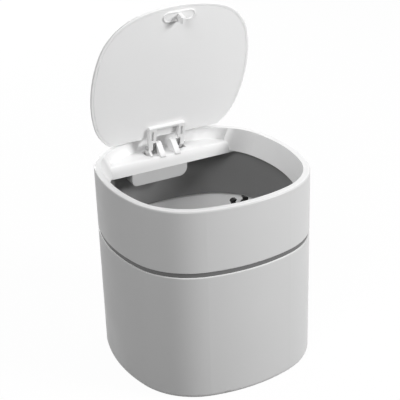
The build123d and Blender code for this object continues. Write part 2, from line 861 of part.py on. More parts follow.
# Lid: an outer shell, with a liner set into its underside
with BuildPart() as lid_cover:
    with BuildSketch(lid_level(lid_under)):
        add(lid_outline(0))
    extrude(amount=lid_thickness)
    fillet(lid_cover.faces().sort_by(lid_normal)[-1].edges(), lid_edge_radius)
    chamfer(lid_cover.faces().sort_by(lid_normal)[0].edges(), lid_lower_bevel)
    with BuildSketch(lid_level(lid_under)):
        add(lid_outline(lid_border))
    extrude(amount=liner_thickness, mode=Mode.SUBTRACT)
lid_cover.part.label = "lid_cover"
export_step(lid_cover.part, "parts/lid_cover.step")

with BuildPart() as lid_liner:
    with BuildSketch(lid_level(lid_under)):
        add(lid_outline(lid_border + lid_border_gap))
    extrude(amount=liner_thickness)
lid_liner.part.label = "lid_liner"
export_step(lid_liner.part, "parts/lid_liner.step")

# Bracket: a crossbar and two ribbed arms, with bosses on the pins and tails that dip into the slots
crossbar_front = hinge_y - crossbar_reach
crossbar_back = crossbar_front + crossbar_width
boss_inner = arm_outer - arm_boss_width
arm_under = lid_under - arm_height
arm_low = hinge_z - arm_boss_radius
groove_floor = arm_under + arm_groove_depth
groove_start = crossbar_back + arm_rib / 2
arm_slope = (arm_low - arm_under) / (hinge_y - crossbar_front)
web_end = hinge_y - arm_web_end
groove_end = web_end - arm_rib
with BuildPart() as hinge_bracket:
    for arm_start, boss_start in ((arm_inner, boss_inner), (-arm_outer, -arm_outer)):
        with BuildSketch(lid_side(arm_start)):
            with BuildLine():
                Polyline(
                    (crossbar_front, lid_under),
                    (crossbar_front, arm_under),
                    (web_end, arm_under + arm_slope * (web_end - crossbar_front)),
                    (web_end, lid_under),
                    close=True,
                )
            make_face()
        extrude(amount=arm_width)
        with BuildSketch(lid_side(boss_start)):
            with BuildLine():
                Polyline(
                    (web_end - overrun, lid_under),
                    (web_end - overrun, arm_under + arm_slope * (web_end - overrun - crossbar_front)),
                    (hinge_y, arm_low),
                    (hinge_y, lid_under),
                    close=True,
                )
            make_face()
            with Locations((hinge_y, hinge_z)):
                Circle(arm_boss_radius)
        extrude(amount=arm_boss_width)
        with BuildSketch(lid_side(arm_start + arm_rib)):
            with BuildLine():
                Polyline(
                    (groove_start, groove_floor + arm_slope * (groove_start - crossbar_front)),
                    (groove_end, groove_floor + arm_slope * (groove_end - crossbar_front)),
                    (groove_end, arm_low - overrun),
                    (groove_start, arm_low - overrun),
                    close=True,
                )
            make_face()
        extrude(amount=arm_width - 2 * arm_rib, mode=Mode.SUBTRACT)
    with BuildSketch(lid_level(arm_under)):
        with Locations((0, crossbar_front)):
            Rectangle(2 * arm_outer, crossbar_width, align=(Align.CENTER, Align.MIN))
    extrude(amount=arm_height)
    # tails, the left one beside the toothed sector
    tail_start = gear_left + gear_width + gear_side_gap
    tail_length = tail_reach - tail_thickness / 2
    tail_middle = (
        hinge_y + tail_length / 2 * cos(radians(tail_rise)),
        hinge_z + tail_length / 2 * sin(radians(tail_rise)),
    )
    for first, last in ((tail_start, -boss_inner), (boss_inner, arm_outer)):
        with BuildSketch(lid_side(first)):
            with Locations(Location(tail_middle, tail_rise)):
                SlotCenterToCenter(tail_length, tail_thickness)
        extrude(amount=last - first)
    with BuildSketch(lid_side(gear_left)):
        with Locations((hinge_y, hinge_z)):
            add(toothed_sector(sector_teeth, sector_first + open_angle, sector_count))
    extrude(amount=gear_width)
    with BuildSketch(lid_side(-arm_outer)):
        with Locations((hinge_y, hinge_z)):
            Circle(pin_radius + run_gap)
    extrude(amount=2 * arm_outer, mode=Mode.SUBTRACT)
hinge_bracket.part.label = "hinge_bracket"
export_step(hinge_bracket.part, "parts/hinge_bracket.step")

# Striker: a long rounded pad with an arrow-headed hook
hook_tip = lid_under - pad_thickness - hook_reach
with BuildPart() as striker:
    with BuildSketch(lid_level(lid_under - pad_thickness)):
        with Locations((0, latch_y)):
            SlotOverall(pad_length, pad_width)
    extrude(amount=pad_thickness)
    with BuildSketch(lid_level(lid_under - pad_thickness)):
        with Locations((0, latch_y)):
            SlotOverall(pad_length - 2 * pad_border, pad_width - 2 * pad_border)
    extrude(amount=pad_recess, mode=Mode.SUBTRACT)
    with BuildSketch(lid_front(latch_y + hook_depth / 2)):
        with BuildLine():
            Polyline(
                (-hook_stem / 2, lid_under - pad_thickness + pad_recess),
                (-hook_stem / 2, hook_tip + hook_head_height),
                (-hook_head / 2, hook_tip + hook_head_height * 3 / 4),
                (-hook_head / 4, hook_tip),
                (hook_head / 4, hook_tip),
                (hook_head / 2, hook_tip + hook_head_height * 3 / 4),
                (hook_stem / 2, hook_tip + hook_head_height),
                (hook_stem / 2, lid_under - pad_thickness + pad_recess),
                close=True,
            )
        make_face()
    extrude(amount=hook_depth)
striker.part.label = "striker"
export_step(striker.part, "parts/striker.step")

# Case of the touch latch, dropped into the shelf
with BuildPart() as latch_case:
    with BuildSketch(Plane.XY.offset(latch_bottom)):
        with Locations((0, latch_y)):
            RectangleRounded(latch_width, latch_depth, latch_corner_radius)
    extrude(amount=latch_height)
    with BuildSketch(Plane.XY.offset(shelf_top)):
        with Locations((0, latch_y)):
            RectangleRounded(
                latch_width + 2 * latch_flange, latch_depth + 2 * latch_flange, latch_corner_radius
            )
    extrude(amount=latch_flange_thickness)
    with BuildSketch(Plane.XY.offset(latch_bottom + latch_floor)):
        with Locations((0, latch_y)):
            Rectangle(latch_width - 2 * latch_wall, latch_depth - 2 * latch_wall)
    extrude(amount=latch_height, mode=Mode.SUBTRACT)
latch_case.part.label = "latch_case"
export_step(latch_case.part, "parts/latch_case.step")

# Plunger: a block on a spring, with lugs that carry the claws' pins
plunger_top = latch_top - plunger_sink
plunger_bottom = plunger_top - plunger_height
plunger_width = latch_width - 2 * latch_wall - 2 * slide_gap
plunger_depth = latch_depth - 2 * latch_wall - 2 * slide_gap
claw_pivot_z = plunger_top + claw_pivot_rise
claw_start = latch_y + claw_width / 2
with BuildPart() as latch_plunger:
    with BuildSketch(Plane.XY.offset(plunger_bottom)):
        with Locations((0, latch_y)):
            Rectangle(plunger_width, plunger_depth)
    extrude(amount=plunger_height)
    for lug_y in (claw_start + slide_gap + lug_thickness, latch_y - claw_width / 2 - slide_gap):
        with BuildSketch(front_plane(lug_y)):
            for lug_x in (claw_pivot_spread, -claw_pivot_spread):
                with Locations((lug_x, plunger_top)):
                    Rectangle(
                        2 * claw_boss_radius,
                        claw_pivot_z - plunger_top,
                        align=(Align.CENTER, Align.MIN),
                    )
                with Locations((lug_x, claw_pivot_z)):
                    Circle(claw_boss_radius)
                    Circle(claw_pin_radius, mode=Mode.SUBTRACT)
        extrude(amount=lug_thickness)
    with BuildSketch(Plane.XY.offset(plunger_bottom)):
        with Locations((0, latch_y)):
            Circle(plunger_bore_radius)
    extrude(amount=plunger_bore_depth, mode=Mode.SUBTRACT)
latch_plunger.part.label = "latch_plunger"
export_step(latch_plunger.part, "parts/latch_plunger.step")


def latch_claw(hand):
    """Claw with a C-shaped jaw that faces the middle, about its pivot."""
    # jaw outline as shares of the claw's height, outwards and up from the pivot
    jaw_shares = [
        (0.16, 0.0),
        (0.28, 0.20),
        (0.40, 0.46),
        (0.50, 0.66),
        (0.42, 0.90),
        (0.12, 1.00),
        (-0.20, 0.94),
        (-0.04, 0.76),
        (0.04, 0.58),
        (-0.02, 0.42),
        (-0.22, 0.34),
        (-0.16, 0.12),
    ]
    with BuildPart() as claw:
        with BuildSketch(front_plane(claw_start)):
            with BuildLine():
                Polyline(
                    *[
                        (hand * (claw_pivot_spread + out * claw_height), claw_pivot_z + up * claw_height)
                        for out, up in jaw_shares
                    ],
                    close=True,
                )
            make_face()
            with Locations((hand * claw_pivot_spread, claw_pivot_z)):
                Circle(claw_boss_radius)
                Circle(claw_pin_radius + run_gap, mode=Mode.SUBTRACT)
        extrude(amount=claw_width)
    return claw


latch_claw_left = latch_claw(-1)
latch_claw_left.part.label = "latch_claw_left"
export_step(latch_claw_left.part, "parts/latch_claw_left.step")

latch_claw_right = latch_claw(1)
latch_claw_right.part.label = "latch_claw_right"
export_step(latch_claw_right.part, "parts/latch_claw_right.step")

with BuildPart() as claw_pins:
    with BuildSketch(front_plane(claw_start + slide_gap + lug_thickness)):
        with Locations((claw_pivot_spread, claw_pivot_z), (-claw_pivot_spread, claw_pivot_z)):
            Circle(claw_pin_radius)
    extrude(amount=claw_width + 2 * slide_gap + 2 * lug_thickness)
claw_pins.part.label = "claw_pins"
export_step(claw_pins.part, "parts/claw_pins.step")

# Spring under the plunger, upright
latch_spring_start = latch_bottom + latch_floor + latch_wire_radius + run_gap
latch_spring_end = plunger_bottom + plunger_bore_depth - latch_wire_radius - run_gap
latch_coil_pitch = (latch_spring_end - latch_spring_start) / latch_coil_turns
latch_spring_foot = Plane(origin=(0, latch_y, latch_spring_start))
with BuildPart() as latch_spring:
    with BuildLine() as latch_path:
        trace_helix(helix_marks(latch_spring_foot, latch_coil_radius, latch_coil_pitch, latch_coil_turns))
    latch_wire = latch_path.wires()[0]
    with BuildSketch(Plane(origin=latch_wire.position_at(0), z_dir=latch_wire.tangent_at(0))):
        RegularPolygon(latch_wire_radius, spring_sides)
    sweep(path=latch_wire, clean=False)
latch_spring.part.label = "latch_spring"
export_step(latch_spring.part, "parts/latch_spring.step")
print("latch spring: least gap to itself",
      round(least_gap(latch_wire, 2 * latch_wire_radius, pi * latch_coil_radius), 2), "mm")
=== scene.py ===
"""Looks of a desktop trash can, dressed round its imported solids."""

import logging
import math
from dataclasses import dataclass, field
from enum import Enum
from typing import Callable, ClassVar, Union

import bpy
from mathutils import Matrix, Vector


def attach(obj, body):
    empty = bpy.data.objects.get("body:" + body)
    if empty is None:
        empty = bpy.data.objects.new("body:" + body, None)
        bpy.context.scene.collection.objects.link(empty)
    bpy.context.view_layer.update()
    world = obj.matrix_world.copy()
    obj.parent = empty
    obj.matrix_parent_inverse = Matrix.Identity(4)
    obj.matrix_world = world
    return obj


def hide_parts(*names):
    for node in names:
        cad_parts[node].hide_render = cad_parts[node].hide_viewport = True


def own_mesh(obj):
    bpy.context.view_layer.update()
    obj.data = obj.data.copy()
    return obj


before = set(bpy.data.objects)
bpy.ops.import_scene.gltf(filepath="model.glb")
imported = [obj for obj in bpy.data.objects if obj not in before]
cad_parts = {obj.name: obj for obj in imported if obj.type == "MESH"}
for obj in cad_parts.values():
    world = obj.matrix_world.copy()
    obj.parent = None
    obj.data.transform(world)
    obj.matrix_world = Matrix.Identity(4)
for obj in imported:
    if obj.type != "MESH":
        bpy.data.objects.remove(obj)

log = logging.getLogger("trash_can")

Socket = bpy.types.NodeSocket
Value = Union[float, tuple, Socket]
Span = tuple[float, float]
Colour = tuple[float, float, float, float]

MM = 0.001
NODE_STEP = 180
PICTURE_PX = 400.0
SENSOR_MM = 36.0


class MouldFace(Enum):
    """How the face of the mould was finished: grains per metre, and their height in metres."""

    SPARK_ERODED = (2600.0, 0.00002)
    SATIN = (3400.0, 0.00001)
    POLISHED = (5200.0, 0.000004)


class Wiring:
    """Adds and joins the nodes of one node tree."""

    MIX_FACTOR: ClassVar[int] = 0
    MIX_COLOURS: ClassVar[tuple[int, int]] = (6, 7)
    MIX_RESULT: ClassVar[int] = 2
    RANGE_INPUTS: ClassVar[tuple[str, ...]] = ("Value", "From Min", "From Max")

    def __init__(self, tree: bpy.types.NodeTree) -> None:
        """Take the tree to work in.

        Args:
            tree: The node tree that nodes are added to.
        """
        self.tree = tree
        self.column = 0

    def node(self, kind: str, **settings: object) -> bpy.types.Node:
        """Add a node.

        Args:
            kind: Blender's name of the node's type.
            **settings: Properties to set on it.

        Returns:
            The new node.
        """
        made = self.tree.nodes.new(kind)
        made.location = (self.column * NODE_STEP, 0)
        self.column += 1
        for name, value in settings.items():
            setattr(made, name, value)
        return made

    def feed(self, socket: Socket, value: Value) -> None:
        """Link a socket to another, or set its value.

        Args:
            socket: The input to feed.
            value: A socket to link from, or a plain value.
        """
        if isinstance(value, bpy.types.NodeSocket):
            self.tree.links.new(value, socket)
        else:
            socket.default_value = value

    def math(self, operation: str, *terms: Value) -> Socket:
        """Add a math node and return its result.

        Args:
            operation: The operation's name.
            *terms: One to three inputs.

        Returns:
            The result's socket.
        """
        made = self.node("ShaderNodeMath", operation=operation)
        for socket, term in zip(made.inputs, terms):
            self.feed(socket, term)
        return made.outputs[0]

    def vector(self, operation: str, *terms: Value) -> bpy.types.Node:
        """Add a vector math node.

        Args:
            operation: The operation's name.
            *terms: One or two vectors.

        Returns:
            The node.
        """
        made = self.node("ShaderNodeVectorMath", operation=operation)
        for socket, term in zip(made.inputs, terms):
            self.feed(socket, term)
        return made

    def dot(self, first: Value, second: Value) -> Socket:
        """Return the dot product of two vectors."""
        return self.vector("DOT_PRODUCT", first, second).outputs["Value"]

    def split(self, vector: Socket, axis: str) -> Socket:
        """Return one coordinate of a vector."""
        made = self.node("ShaderNodeSeparateXYZ")
        self.feed(made.inputs[0], vector)
        return made.outputs[axis]

    def place_on_piece(self) -> Socket:
        """Return the piece's own coordinates."""
        return self.node("ShaderNodeTexCoord").outputs["Object"]

    def noise(self, where: Socket, scale: Value, detail: float, roughness: float) -> Socket:
        """Add a noise texture and return its factor.

        Args:
            where: The coordinates that it reads.
            scale: Features per metre.
            detail: Octaves of detail.
            roughness: Weight of the finer octaves.

        Returns:
            The noise's factor.
        """
        made = self.node("ShaderNodeTexNoise")
        self.feed(made.inputs["Vector"], where)
        self.feed(made.inputs["Scale"], scale)
        self.feed(made.inputs["Detail"], detail)
        self.feed(made.inputs["Roughness"], roughness)
        return made.outputs[0]

    def span(self, value: Value, low: Value, high: Value) -> Socket:
        """Map a range to zero and one, smoothly and clamped.

        Args:
            value: What to map.
            low: What becomes zero.
            high: What becomes one.

        Returns:
            The mapped value.
        """
        made = self.node("ShaderNodeMapRange", interpolation_type="SMOOTHSTEP")
        for name, term in zip(self.RANGE_INPUTS, (value, low, high)):
            self.feed(made.inputs[name], term)
        return made.outputs[0]

    def blend(self, factor: Value, *colours: Value) -> Socket:
        """Mix two colours.

        Args:
            factor: Share of the second.
            *colours: The colour at zero and the colour at one.

        Returns:
            The mixed colour.
        """
        made = self.node("ShaderNodeMix", data_type="RGBA")
        self.feed(made.inputs[self.MIX_FACTOR], factor)
        for socket, colour in zip(self.MIX_COLOURS, colours):
            self.feed(made.inputs[socket], colour)
        return made.outputs[self.MIX_RESULT]

    def place(self, group: bpy.types.NodeTree, **values: Value) -> bpy.types.Node:
        """Place a shader group with its values.

        Args:
            group: The group's tree.
            **values: Inputs by name, with underscores for spaces.

        Returns:
            The group node.
        """
        made = self.node("ShaderNodeGroup")
        made.node_tree = group
        for name, value in values.items():
            self.feed(made.inputs[name.replace("_", " ").capitalize()], value)
        return made

    def mask(self, group: bpy.types.NodeTree, **values: Value) -> Socket:
        """Place a shader group and return its mask."""
        return self.place(group, **values).outputs["Mask"]

    def bump(self, height: Socket, distance: float, strength: float) -> bpy.types.Node:
        """Add a bump node.

        Args:
            height: The relief.
            distance: Its height in metres.
            strength: Its strength.

        Returns:
            The node.
        """
        made = self.node("ShaderNodeBump")
        made.inputs["Strength"].default_value = strength
        made.inputs["Distance"].default_value = distance
        self.feed(made.inputs["Height"], height)
        return made

    def surface(self, shader: Socket, output: str = "ShaderNodeOutputMaterial") -> None:
        """Show a shader on the surface.

        Args:
            shader: The shader to show.
            output: Blender's name of the output node's type.
        """
        self.feed(self.node(output).inputs["Surface"], shader)


class Effects:
    """Shader groups that more than one finish uses, each built once."""

    PIT_SHARE: ClassVar[float] = 0.6
    EDGE_TURN: ClassVar[Span] = (0.995, 0.86)
    EDGE_BREAK: ClassVar[Span] = (0.38, 0.62)
    APRON_TURN: ClassVar[Span] = (0.15, 0.9)
    SMEAR_SPAN: ClassVar[Span] = (0.42, 0.7)
    SCUFF_SPAN: ClassVar[Span] = (0.66, 0.78)
    SCUFF_STRETCH: ClassVar[tuple[float, float, float]] = (1.0, 0.22, 0.6)
    SCUFF_SHARE: ClassVar[float] = 0.5
    DUST_SLOPE: ClassVar[Span] = (0.55, 0.98)
    SPECK_SPAN: ClassVar[Span] = (0.5, 0.75)

    _made: ClassVar[dict[str, bpy.types.NodeTree]] = {}

    @classmethod
    def _start(cls, name: str, inputs: dict[str, float], outputs: tuple[str, ...]) -> tuple:
        """Start a group with float sockets.

        Args:
            name: The group's name.
            inputs: Default value of each input, by name.
            outputs: Names of the outputs.

        Returns:
            The tree, its wiring, the input node and the output node.
        """
        tree = bpy.data.node_groups.new(name, "ShaderNodeTree")
        for title, value in inputs.items():
            socket = tree.interface.new_socket(
                name=title, in_out="INPUT", socket_type="NodeSocketFloat"
            )
            socket.default_value = value
        for title in outputs:
            tree.interface.new_socket(name=title, in_out="OUTPUT", socket_type="NodeSocketFloat")
        wiring = Wiring(tree)
        return tree, wiring, wiring.node("NodeGroupInput"), wiring.node("NodeGroupOutput")

    @classmethod
    def _once(cls, name: str, make: Callable[[], bpy.types.NodeTree]) -> bpy.types.NodeTree:
        """Build a group the first time it is asked for.

        Args:
            name: The group's name.
            make: What builds it.

        Returns:
            The group's tree.
        """
        if name not in cls._made:
            cls._made[name] = make()
        return cls._made[name]

    @classmethod
    def moulded_grain(cls) -> bpy.types.NodeTree:
        """Fine spark-eroded grain of a mould, and the slow flow marks of the plastic."""

        def make() -> bpy.types.NodeTree:
            tree, wire, given, out = cls._start(
                "moulded_grain", {"Grain scale": 2600.0, "Flow scale": 22.0}, ("Height", "Flow")
            )
            where = wire.place_on_piece()
            fine = wire.noise(where, given.outputs["Grain scale"], 2.0, 0.55)
            pits = wire.node("ShaderNodeTexVoronoi", feature="SMOOTH_F1")
            wire.feed(pits.inputs["Vector"], where)
            wire.feed(pits.inputs["Scale"], given.outputs["Grain scale"])
            height = wire.math("MULTIPLY_ADD", pits.outputs["Distance"], cls.PIT_SHARE, fine)
            wire.feed(out.inputs["Height"], height)
            flow = wire.noise(where, given.outputs["Flow scale"], 2.0, 0.4)
            wire.feed(out.inputs["Flow"], flow)
            return tree

        return cls._once("moulded_grain", make)

    @classmethod
    def edge_wear(cls) -> bpy.types.NodeTree:
        """Mask of the outer edges, broken up as rubbing leaves them."""

        def make() -> bpy.types.NodeTree:
            tree, wire, given, out = cls._start(
                "edge_wear", {"Width": 0.0006, "Break scale": 260.0}, ("Mask",)
            )
            rounded = wire.node("ShaderNodeBevel", samples=4)
            wire.feed(rounded.inputs["Radius"], given.outputs["Width"])
            plain = wire.node("ShaderNodeNewGeometry").outputs["Normal"]
            edge = wire.span(wire.dot(rounded.outputs[0], plain), *cls.EDGE_TURN)
            marks = wire.noise(wire.place_on_piece(), given.outputs["Break scale"], 4.0, 0.6)
            broken = wire.span(marks, *cls.EDGE_BREAK)
            wire.feed(out.inputs["Mask"], wire.math("MULTIPLY", edge, broken))
            return tree

        return cls._once("edge_wear", make)

    @classmethod
    def soft_edge(cls) -> bpy.types.NodeTree:
        """Normal of a skin whose sharp edges the mould has rounded off."""

        def make() -> bpy.types.NodeTree:
            tree, wire, given, out = cls._start("soft_edge", {"Radius": 0.0003}, ())
            tree.interface.new_socket(
                name="Normal", in_out="OUTPUT", socket_type="NodeSocketVector"
            )
            rounded = wire.node("ShaderNodeBevel", samples=6)
            wire.feed(rounded.inputs["Radius"], given.outputs["Radius"])
            wire.feed(out.inputs["Normal"], rounded.outputs[0])
            return tree

        return cls._once("soft_edge", make)

    @classmethod
    def painted_outer_shade(cls) -> bpy.types.NodeTree:
        """Mask of the walls that face away from the can's own middle line, where shade is painted
        on.
        """

        def make() -> bpy.types.NodeTree:
            tree, wire, given, out = cls._start(
                "painted_outer_shade", {"Start": 0.35, "End": 0.8}, ("Mask",)
            )
            skin = wire.node("ShaderNodeTexCoord")
            flat = wire.vector("MULTIPLY", skin.outputs["Object"], (1.0, 1.0, 0.0))
            outward = wire.vector("NORMALIZE", flat.outputs[0])
            match = wire.dot(outward.outputs[0], skin.outputs["Normal"])
            facing = wire.span(match, given.outputs["Start"], given.outputs["End"])
            wire.feed(out.inputs["Mask"], facing)
            return tree

        return cls._once("painted_outer_shade", make)

    @classmethod
    def painted_apron_shade(cls) -> bpy.types.NodeTree:
        """Mask of the faces that look to the front, ahead of the hinge: the deck's apron, where
        shade is painted on.
        """

        def make() -> bpy.types.NodeTree:
            tree, wire, given, out = cls._start(
                "painted_apron_shade", {"Behind": 0.0565, "Ahead": 0.0512}, ("Mask",)
            )
            skin = wire.node("ShaderNodeTexCoord")
            match = wire.dot(skin.outputs["Normal"], (0.0, -1.0, 0.0))
            facing = wire.span(match, *cls.APRON_TURN)
            along = wire.split(skin.outputs["Object"], "Y")
            ahead = wire.span(along, given.outputs["Behind"], given.outputs["Ahead"])
            wire.feed(out.inputs["Mask"], wire.math("MULTIPLY", facing, ahead))
            return tree

        return cls._once("painted_apron_shade", make)

    @classmethod
    def handling(cls) -> bpy.types.NodeTree:
        """Mask of the faint marks that fingers leave: broad smears with a few fine scuffs."""

        def make() -> bpy.types.NodeTree:
            tree, wire, given, out = cls._start(
                "handling", {"Smear scale": 34.0, "Scuff scale": 420.0}, ("Mask",)
            )
            where = wire.place_on_piece()
            broad = wire.noise(where, given.outputs["Smear scale"], 4.0, 0.55)
            smear = wire.span(broad, *cls.SMEAR_SPAN)
            stretched = wire.node("ShaderNodeMapping")
            wire.feed(stretched.inputs["Vector"], where)
            wire.feed(stretched.inputs["Scale"], cls.SCUFF_STRETCH)
            fine = wire.noise(stretched.outputs[0], given.outputs["Scuff scale"], 2.0, 0.5)
            scuff = wire.math("MULTIPLY", wire.span(fine, *cls.SCUFF_SPAN), cls.SCUFF_SHARE)
            wire.feed(out.inputs["Mask"], wire.math("MAXIMUM", smear, scuff))
            return tree

        return cls._once("handling", make)

    @classmethod
    def settled_dust(cls) -> bpy.types.NodeTree:
        """Mask of the thin dust on whatever faces up."""

        def make() -> bpy.types.NodeTree:
            tree, wire, given, out = cls._start("settled_dust", {"Speck scale": 700.0}, ("Mask",))
            plain = wire.node("ShaderNodeNewGeometry").outputs["Normal"]
            up = wire.span(wire.split(plain, "Z"), *cls.DUST_SLOPE)
            fine = wire.noise(wire.place_on_piece(), given.outputs["Speck scale"], 5.0, 0.7)
            specks = wire.span(fine, *cls.SPECK_SPAN)
            wire.feed(out.inputs["Mask"], wire.math("MULTIPLY", up, specks))
            return tree

        return cls._once("settled_dust", make)


def grey(tone: float) -> Colour:
    """Return an opaque neutral colour."""
    return (tone, tone, tone, 1.0)


def shades(tone: float, spread: Span) -> tuple[Colour, Colour]:
    """Return a tone's darker and lighter shade.

    Args:
        tone: Brightness, linear.
        spread: What the tone is multiplied by in each.

    Returns:
        The darker and the lighter colour.
    """
    darker, lighter = spread
    return grey(tone * darker), grey(min(1.0, tone * lighter))


def new_material(name: str) -> tuple[bpy.types.Material, Wiring]:
    """Start an empty material.

    Args:
        name: The material's name.

    Returns:
        The material and the wiring of its tree.
    """
    made = bpy.data.materials.new(name)
    made.use_nodes = True
    made.node_tree.nodes.clear()
    return made, Wiring(made.node_tree)


def new_object(name: str, data: bpy.types.ID) -> bpy.types.Object:
    """Add an object to the scene.

    Args:
        name: The object's name.
        data: Its mesh, lamp or camera.

    Returns:
        The object.
    """
    made = bpy.data.objects.new(name, data)
    bpy.context.scene.collection.objects.link(made)
    return made


def way_to(azimuth: float, elevation: float) -> Vector:
    """Return the direction from the can to a place round it.

    Args:
        azimuth: Degrees from the front to the right.
        elevation: Degrees above the horizon.

    Returns:
        A unit vector.
    """
    turn, rise = math.radians(azimuth), math.radians(elevation)
    flat = math.cos(rise)
    return Vector((math.sin(turn) * flat, -math.cos(turn) * flat, math.sin(rise)))


@dataclass(frozen=True)
class MouldedPlastic:
    """Finish of an injection-moulded piece.

    Args:
        name: The material's name.
        tone: Brightness of the plastic, linear.
        roughness: Roughness of the clean surface.
        face: How the mould was finished.
        painted_outer_shade_tone: Brightness of the walls that face outwards, a painted shade, or 0
            for no difference.
        painted_apron_shade_tone: Brightness of the deck's apron, a painted shade, or 0 for no
            difference.
        wear: How far worn edges go towards the worn tone.
        worn_tone: Brightness where the edge is rubbed.
        dust: Strength of the dust on top.
        sheen: Specular level of the skin.
    """

    FLOW_SPREAD: ClassVar[Span] = (0.985, 1.01)
    PAINTED_SHADE_SPREAD: ClassVar[Span] = (0.98, 1.015)
    DUST_TONE: ClassVar[float] = 0.5
    TOUCH_POLISH: ClassVar[float] = -0.07
    RELIEF: ClassVar[float] = 0.35

    name: str
    tone: float
    roughness: float
    face: MouldFace = MouldFace.SPARK_ERODED
    painted_outer_shade_tone: float = 0.0
    painted_apron_shade_tone: float = 0.0
    wear: float = 0.2
    worn_tone: float = 0.9
    dust: float = 0.05
    sheen: float = 0.45

    def _colour(self, wire: Wiring, flow: Socket) -> Socket:
        """Colour the plastic: its tone within the flow marks, with painted shade on the apron and
        the outer walls.

        Args:
            wire: The material's wiring.
            flow: The flow marks.

        Returns:
            The colour of the clean plastic.
        """
        colour = wire.blend(flow, *shades(self.tone, self.FLOW_SPREAD))
        # Painted shade: the apron and the outer walls take darker copies of the tone.
        painted_shade_faces = (
            (self.painted_apron_shade_tone, Effects.painted_apron_shade),
            (self.painted_outer_shade_tone, Effects.painted_outer_shade),
        )
        for tone, effect in painted_shade_faces:
            if tone:
                shaded_tone_colour = wire.blend(flow, *shades(tone, self.PAINTED_SHADE_SPREAD))
                colour = wire.blend(wire.mask(effect()), colour, shaded_tone_colour)
        return colour

    def material(self) -> bpy.types.Material:
        """Build the material.

        Returns:
            The material.
        """
        made, wire = new_material(self.name)
        skin = wire.node("ShaderNodeBsdfPrincipled")
        wire.surface(skin.outputs[0])
        grain_scale, grain_height = self.face.value
        grain = wire.place(Effects.moulded_grain(), grain_scale=grain_scale)
        edge = wire.mask(Effects.edge_wear())
        touch = wire.mask(Effects.handling())
        dust = wire.mask(Effects.settled_dust())
        clean = self._colour(wire, grain.outputs["Flow"])
        worn = wire.blend(wire.math("MULTIPLY", edge, self.wear), clean, grey(self.worn_tone))
        dusting = wire.math("MULTIPLY", dust, self.dust)
        wire.feed(skin.inputs["Base Color"], wire.blend(dusting, worn, grey(self.DUST_TONE)))
        matt = wire.math("MULTIPLY_ADD", touch, self.TOUCH_POLISH, self.roughness)
        matt = wire.math("MULTIPLY_ADD", dust, self.dust, matt)
        wire.feed(skin.inputs["Roughness"], matt)
        skin.inputs["Specular IOR Level"].default_value = self.sheen
        relief = wire.bump(grain.outputs["Height"], grain_height, self.RELIEF)
        soft = wire.place(Effects.soft_edge()).outputs["Normal"]
        wire.feed(relief.inputs["Normal"], soft)
        wire.feed(skin.inputs["Normal"], relief.outputs[0])
        return made


@dataclass(frozen=True)
class DrawnSteel:
    """Finish of a pin, wire or screw.

    Args:
        name: The material's name.
        tone: Brightness of the metal, linear.
        roughness: Roughness of the clean surface.
        streak: Height of the drawing marks, in metres.
    """

    DRAWN_SPREAD: ClassVar[Span] = (0.82, 1.12)
    GRAIN_SCALE: ClassVar[float] = 4200.0
    FLOW_SCALE: ClassVar[float] = 160.0
    SMEAR_SCALE: ClassVar[float] = 120.0
    TOUCH_DULLING: ClassVar[float] = 0.12
    RELIEF: ClassVar[float] = 0.4

    name: str
    tone: float
    roughness: float
    streak: float = 0.00001

    def material(self) -> bpy.types.Material:
        """Build the material.

        Returns:
            The material.
        """
        made, wire = new_material(self.name)
        skin = wire.node("ShaderNodeBsdfPrincipled")
        wire.surface(skin.outputs[0])
        grain = wire.place(
            Effects.moulded_grain(), grain_scale=self.GRAIN_SCALE, flow_scale=self.FLOW_SCALE
        )
        touch = wire.mask(Effects.handling(), smear_scale=self.SMEAR_SCALE)
        colour = wire.blend(grain.outputs["Flow"], *shades(self.tone, self.DRAWN_SPREAD))
        wire.feed(skin.inputs["Base Color"], colour)
        skin.inputs["Metallic"].default_value = 1.0
        matt = wire.math("MULTIPLY_ADD", touch, self.TOUCH_DULLING, self.roughness)
        wire.feed(skin.inputs["Roughness"], matt)
        relief = wire.bump(grain.outputs["Height"], self.streak, self.RELIEF)
        wire.feed(skin.inputs["Normal"], relief.outputs[0])
        return made


# Painted shade: the outer walls of pail and collar, and the collar's apron, are darker than the
# rest of the same plastic.
PAIL_WHITE = MouldedPlastic("moulded_pail", tone=0.88, roughness=0.42, painted_outer_shade_tone=0.6)
COLLAR_WHITE = MouldedPlastic(
    "moulded_collar", tone=0.81, roughness=0.42, painted_outer_shade_tone=0.6, painted_apron_shade_tone=0.51
)
LID_WHITE = MouldedPlastic("moulded_lid", tone=0.9, roughness=0.38, face=MouldFace.SATIN)
LINER_WHITE = MouldedPlastic("moulded_liner", tone=0.9, roughness=0.45, wear=0.1)
WORKS_WHITE = MouldedPlastic("moulded_works", tone=0.77, roughness=0.36, face=MouldFace.SATIN)
# Painted shade: the ring's outer face, in the groove between pail and collar, is darker than its
# inside.
RING_GREY = MouldedPlastic(
    "moulded_ring", tone=0.22, roughness=0.5, painted_outer_shade_tone=0.14, worn_tone=0.3, wear=0.2
)
# Painted shade: the housing is darker than the other white pieces, standing in for the shade under
# the deck.
HOUSING_PAINTED_SHADE = MouldedPlastic("moulded_housing_painted_shade", tone=0.46, roughness=0.42, wear=0.1)
GEAR_IVORY = MouldedPlastic(
    "moulded_gear", tone=0.62, roughness=0.4, face=MouldFace.POLISHED, wear=0.15
)
BLACK_PLASTIC = MouldedPlastic(
    "moulded_black",
    tone=0.006,
    roughness=0.4,
    face=MouldFace.POLISHED,
    wear=0.15,
    worn_tone=0.05,
    dust=0.004,
    sheen=0.14,
)
BRIGHT_STEEL = DrawnSteel("steel_bright", tone=0.62, roughness=0.25)
DARK_WIRE = DrawnSteel("steel_dark", tone=0.16, roughness=0.34)

Finish = Union[MouldedPlastic, DrawnSteel]
FINISHED: dict[Finish, bpy.types.Material] = {}


